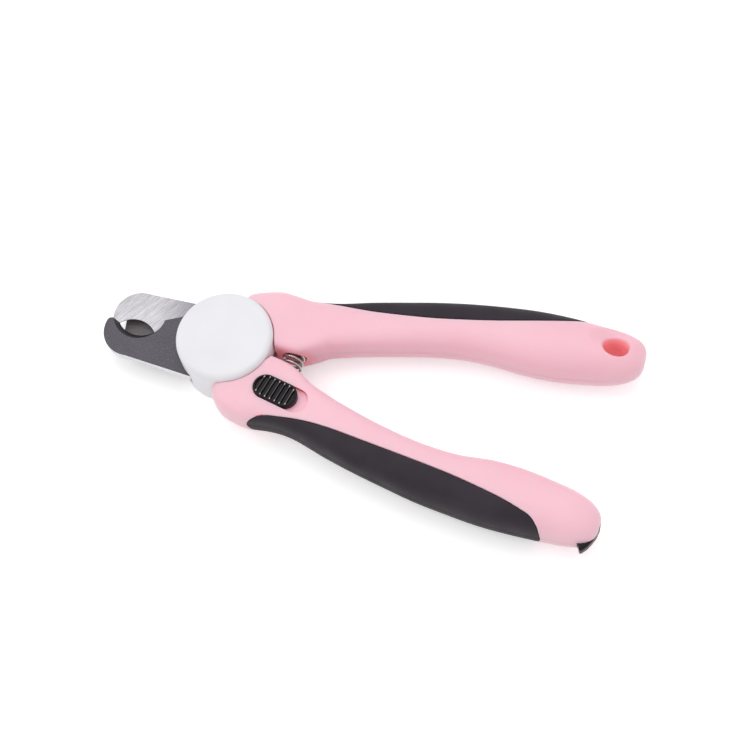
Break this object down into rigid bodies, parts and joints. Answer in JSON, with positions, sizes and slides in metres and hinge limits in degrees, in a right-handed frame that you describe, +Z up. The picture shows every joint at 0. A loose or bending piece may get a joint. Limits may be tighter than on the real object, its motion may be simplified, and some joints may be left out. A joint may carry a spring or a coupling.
{
  "type": "pet nail clipper",
  "caption": "Plier-type pet nail clipper with hooked and curved shear blades on one pivot, spring-opened handles, slide lock, swinging nail guard and pull-out nail file.",
  "frame": {"origin": "on the pivot axis, at the underside of the pivot bolt's head, in the plane that the clipper rests on", "axes": "+Z up along the pivot axis, -X towards the jaws, +X between the two open handles, +Y towards the handle with the hanging hole"},
  "size_m": [0.1648, 0.0715, 0.017],
  "materials": {
    "pink_plastic": "smooth satin gloss",
    "soft_grip": "matt, finely grained",
    "white_plastic": "smooth gloss",
    "coated_blade": "dark coated steel, satin",
    "ground_blade": "ground steel with diagonal lines",
    "fastener_steel": "plain steel",
    "spring_wire": "bright wire",
    "black_plastic": "matt black",
    "file_steel": "cross-cut steel",
    "guard_steel": "dark coated steel"
  },
  "bodies": {
    "file_handle": {"file_handle_top_shell": "pink_plastic", "file_handle_bottom_shell": "pink_plastic", "file_handle_top_grip": "soft_grip", "file_handle_bottom_grip": "soft_grip", "curved_blade": "ground_blade", "top_pivot_cap": "white_plastic", "bottom_pivot_cap": "white_plastic", "pivot_bolt": "fastener_steel", "pivot_nut": "fastener_steel", "pivot_washer": "fastener_steel", "file_handle_screws": "fastener_steel", "return_spring": "spring_wire"},
    "hang_handle": {"hang_handle_top_shell": "pink_plastic", "hang_handle_bottom_shell": "pink_plastic", "hang_handle_top_grip": "soft_grip", "hang_handle_bottom_grip": "soft_grip", "hook_blade": "coated_blade", "hang_handle_screws": "fastener_steel"},
    "lock": {"lock_button": "black_plastic", "lock_plate": "fastener_steel", "lock_pin": "fastener_steel", "lock_screw": "fastener_steel"},
    "file": {"file_blade": "file_steel", "file_tab": "black_plastic"},
    "guard": {"guard_plate": "guard_steel", "guard_washer": "fastener_steel"}
  },
  "joints": [
    {"name": "handle_hinge", "type": "hinge", "parent": "file_handle", "child": "hang_handle", "pos_m": [0, 0, 0], "axis": [0, 0, 1], "range_deg": [-9.6, 0], "stiffness_Nm_per_rad": 0.6, "springref_deg": 20.05, "deforming": ["return_spring"]},
    {"name": "lock_slide", "type": "slide", "parent": "file_handle", "child": "lock", "axis": [0.9781, -0.2079, 0], "range_m": [0, 0.0031]},
    {"name": "file_slide", "type": "slide", "parent": "file_handle", "child": "file", "axis": [1, 0, 0], "range_m": [0, 0.04]},
    {"name": "guard_swing", "type": "hinge", "parent": "file_handle", "child": "guard", "pos_m": [0, 0, 0], "axis": [0, 0, 1], "range_deg": [-30, 0]}
  ]
}
